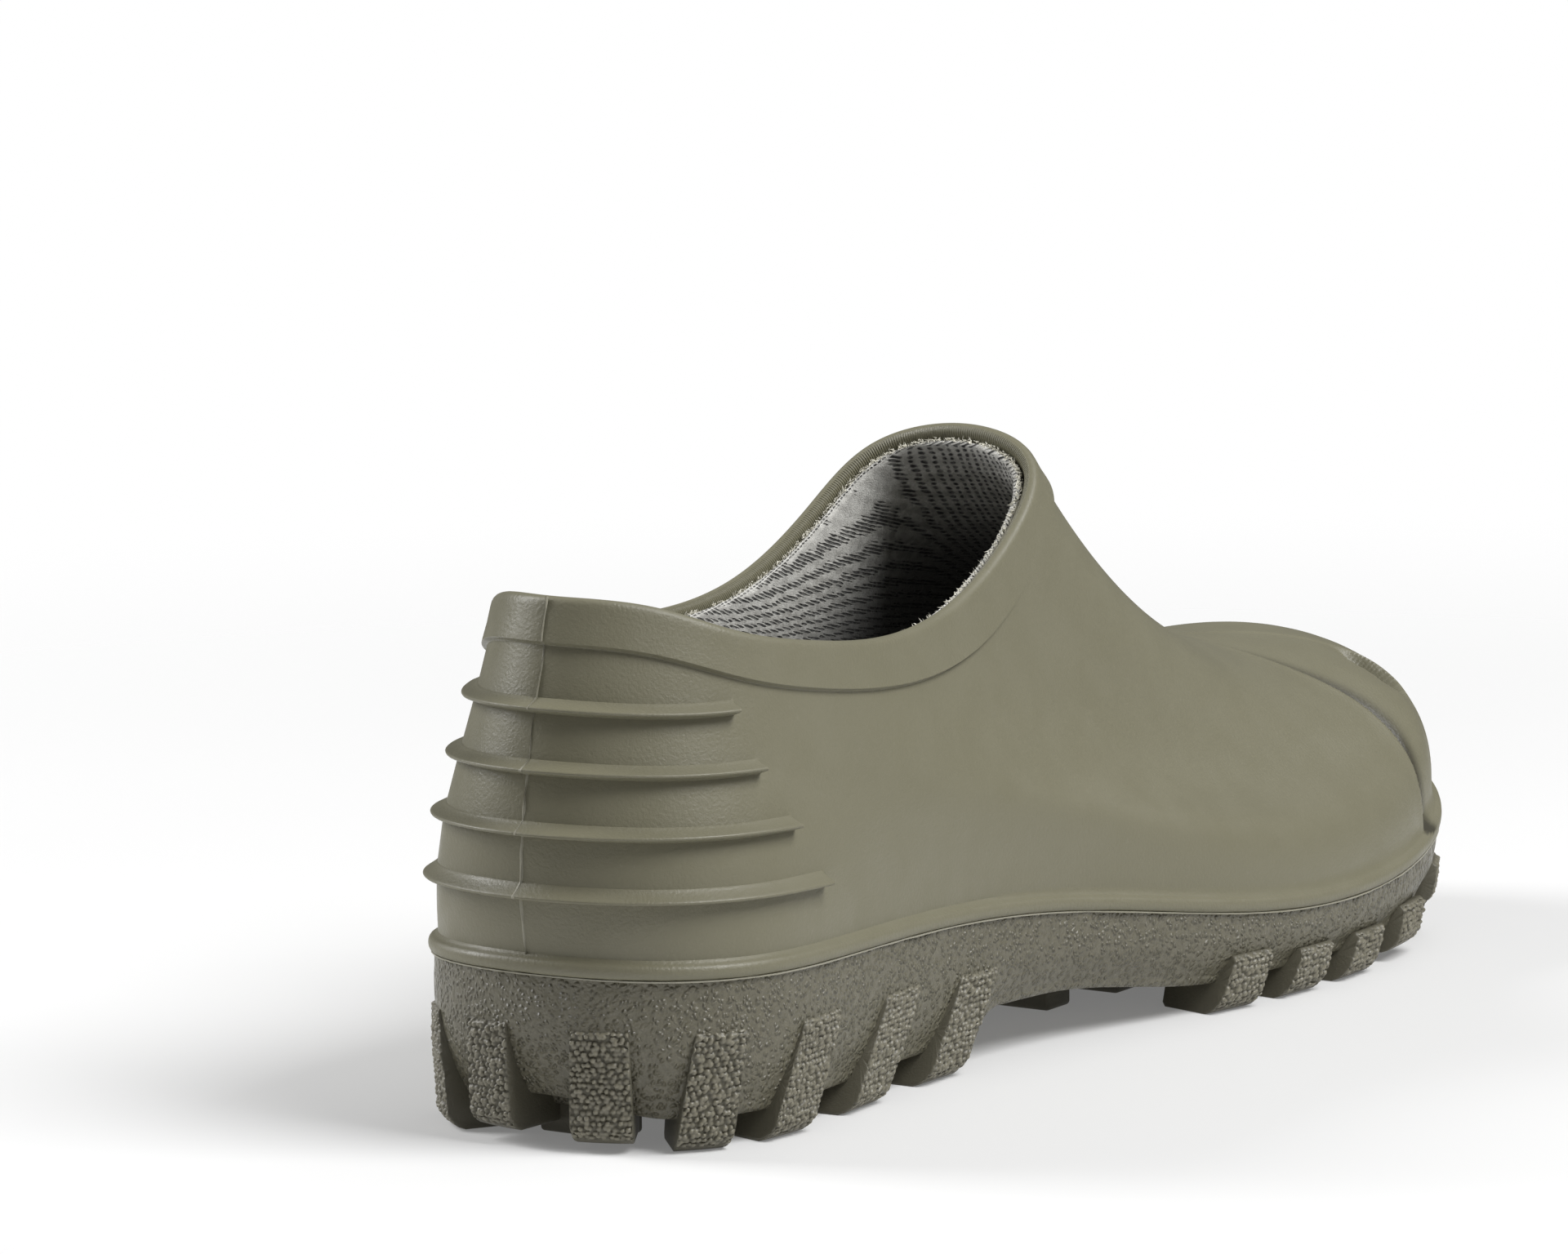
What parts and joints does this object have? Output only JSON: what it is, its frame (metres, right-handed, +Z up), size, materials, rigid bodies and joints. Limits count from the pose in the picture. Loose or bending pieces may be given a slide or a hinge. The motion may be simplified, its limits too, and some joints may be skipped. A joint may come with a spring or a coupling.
{
  "type": "garden clog",
  "caption": "Slip-on moulded clog with a knitted lining, raised collar, ribbed heel and lugged sole, for garden and wet work.",
  "frame": {"origin": "centre of the bounding box, on the ground under the lugs", "axes": "+Y towards the toe, +X towards the outer side of the foot, +Z up"},
  "size_m": [0.1108, 0.2955, 0.1182],
  "materials": {
    "upper_pvc": "satin moulded olive grey",
    "sole_pvc": "matt moulded brown grey with fine grain",
    "knit": "grey white knit",
    "felt": "grey felt",
    "foam": "closed-cell foam"
  },
  "bodies": {
    "root": {"upper": "upper_pvc", "outsole": "sole_pvc", "heel_filler": "foam", "lining_sock": "knit", "sock_sole": "felt", "footbed_foam": "foam", "footbed_cover": "knit"}
  },
  "joints": []
}
